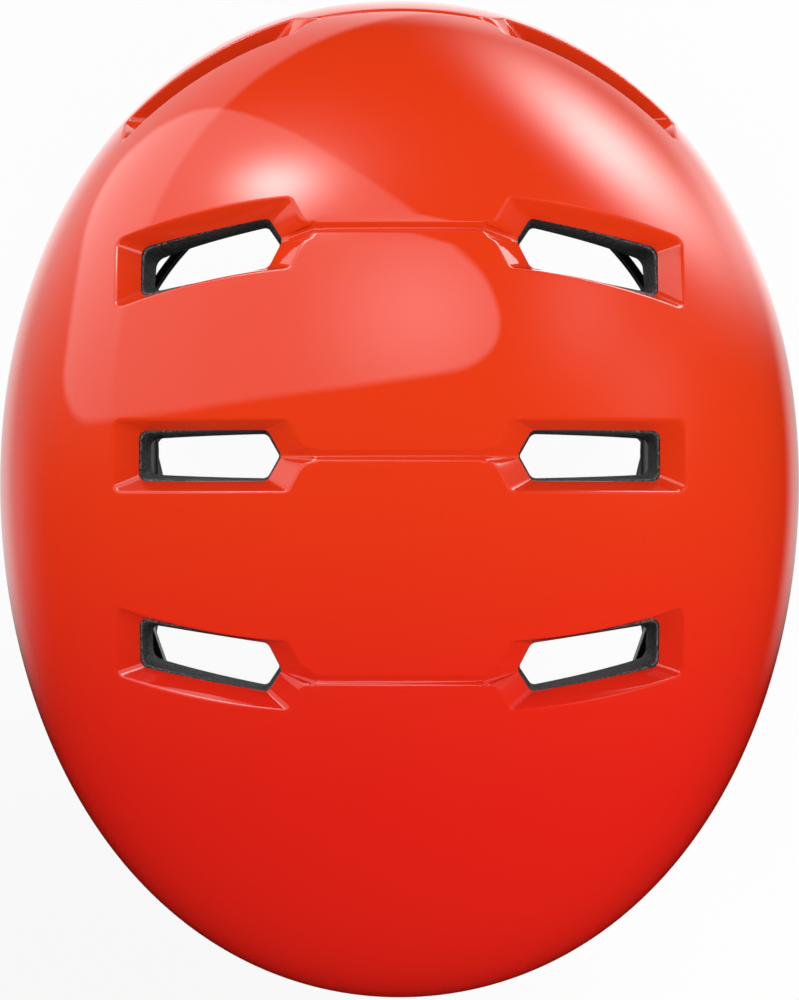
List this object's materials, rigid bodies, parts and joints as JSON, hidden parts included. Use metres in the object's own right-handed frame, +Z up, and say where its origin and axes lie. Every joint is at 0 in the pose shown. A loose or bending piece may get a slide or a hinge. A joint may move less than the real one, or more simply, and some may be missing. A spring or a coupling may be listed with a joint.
{
  "type": "bicycle helmet",
  "caption": "Round urban cycling helmet with beveled vents, foam liner, geared rear fit cradle, strap dividers and a sliding magnetic chin buckle.",
  "frame": {"origin": "centre of the head opening, in the level of the front edge", "axes": "+X to the wearer's right, +Y to the front, +Z up"},
  "size_m": [0.2198, 0.2747, 0.27],
  "materials": {
    "shell_red": "clear-coated gloss",
    "foam": "moulded bead foam, matt",
    "black_plastic": "fine matt",
    "trim_black": "satin",
    "pad_cloth": "knitted cloth over soft foam",
    "webbing": "ribbed woven webbing",
    "knob_rubber": "soft grip",
    "acetal": "natural satin",
    "steel": "bright steel",
    "magnet": "nickel-plated"
  },
  "bodies": {
    "helmet": {"outer_shell": "shell_red", "edge_trim": "trim_black", "foam_liner": "foam", "brow_pad": "pad_cloth", "crown_pad": "pad_cloth", "rear_pad": "pad_cloth", "left_side_pad": "pad_cloth", "right_side_pad": "pad_cloth", "front_ring": "black_plastic", "liner_studs": "black_plastic", "left_ring_band": "black_plastic", "right_ring_band": "black_plastic", "band_rivets": "black_plastic", "cradle_hanger": "black_plastic", "strap_anchors": "black_plastic", "left_front_strap": "webbing", "right_front_strap": "webbing", "left_rear_strap": "webbing", "right_rear_strap": "webbing", "left_divider": "black_plastic", "right_divider": "black_plastic", "divider_pins": "steel", "left_chin_strap": "webbing", "right_chin_strap": "webbing", "buckle_base": "black_plastic", "base_magnet": "magnet", "chin_pad": "pad_cloth"},
    "cradle": {"cradle_back": "black_plastic", "cradle_cover": "black_plastic", "cradle_screws": "steel", "hanger_rivet": "black_plastic", "cradle_pad": "pad_cloth"},
    "left_rack": {"left_rack": "acetal"},
    "right_rack": {"right_rack": "acetal"},
    "dial": {"drive_pinion": "acetal", "dial_knob": "knob_rubber", "detent_spring": "acetal", "dial_screw": "steel"},
    "left_flap": {"left_divider_flap": "black_plastic"},
    "right_flap": {"right_divider_flap": "black_plastic"},
    "slider": {"buckle_slider": "black_plastic", "slider_magnet": "magnet", "strap_tail": "webbing"},
    "keeper": {"strap_keeper": "knob_rubber"}
  },
  "joints": [
    {"name": "cradle_slide", "type": "slide", "parent": "helmet", "child": "cradle", "axis": [0, 1, 0], "range_m": [0, 0.008], "deforming": ["cradle_hanger"]},
    {"name": "left_rack_slide", "type": "slide", "parent": "helmet", "child": "left_rack", "axis": [0.8321, 0.5547, 0], "range_m": [0, 0.01442], "deforming": ["left_ring_band"]},
    {"name": "right_rack_slide", "type": "slide", "parent": "helmet", "child": "right_rack", "axis": [-0.8321, 0.5547, 0], "range_m": [0, 0.01442], "deforming": ["right_ring_band"]},
    {"name": "dial_turn", "type": "hinge", "parent": "cradle", "child": "dial", "pos_m": [0, -0.095, -0.054], "axis": [0, -1, 0], "range_deg": [0, 137.6]},
    {"name": "right_flap_hinge", "type": "hinge", "parent": "helmet", "child": "right_flap", "pos_m": [0.07425, -0.01471, -0.09188], "axis": [0, 0.9136, 0.4067], "range_deg": [0, 95]},
    {"name": "left_flap_hinge", "type": "hinge", "parent": "helmet", "child": "left_flap", "pos_m": [-0.07425, -0.01471, -0.09188], "axis": [0, -0.9136, -0.4067], "range_deg": [0, 95]},
    {"name": "buckle_slide", "type": "slide", "parent": "helmet", "child": "slider", "axis": [0, 1, 0], "range_m": [0, 0.022], "deforming": ["right_chin_strap"]},
    {"name": "keeper_slide", "type": "slide", "parent": "slider", "child": "keeper", "axis": [0.9661, -0.2229, -0.13], "range_m": [0, 0.005]}
  ],
  "couplings": [
    {"joint": "left_rack_slide", "follows": "cradle_slide", "ratio": 1.8028},
    {"joint": "right_rack_slide", "follows": "cradle_slide", "ratio": 1.8028},
    {"joint": "dial_turn", "follows": "cradle_slide", "rad_per_m": 300}
  ]
}
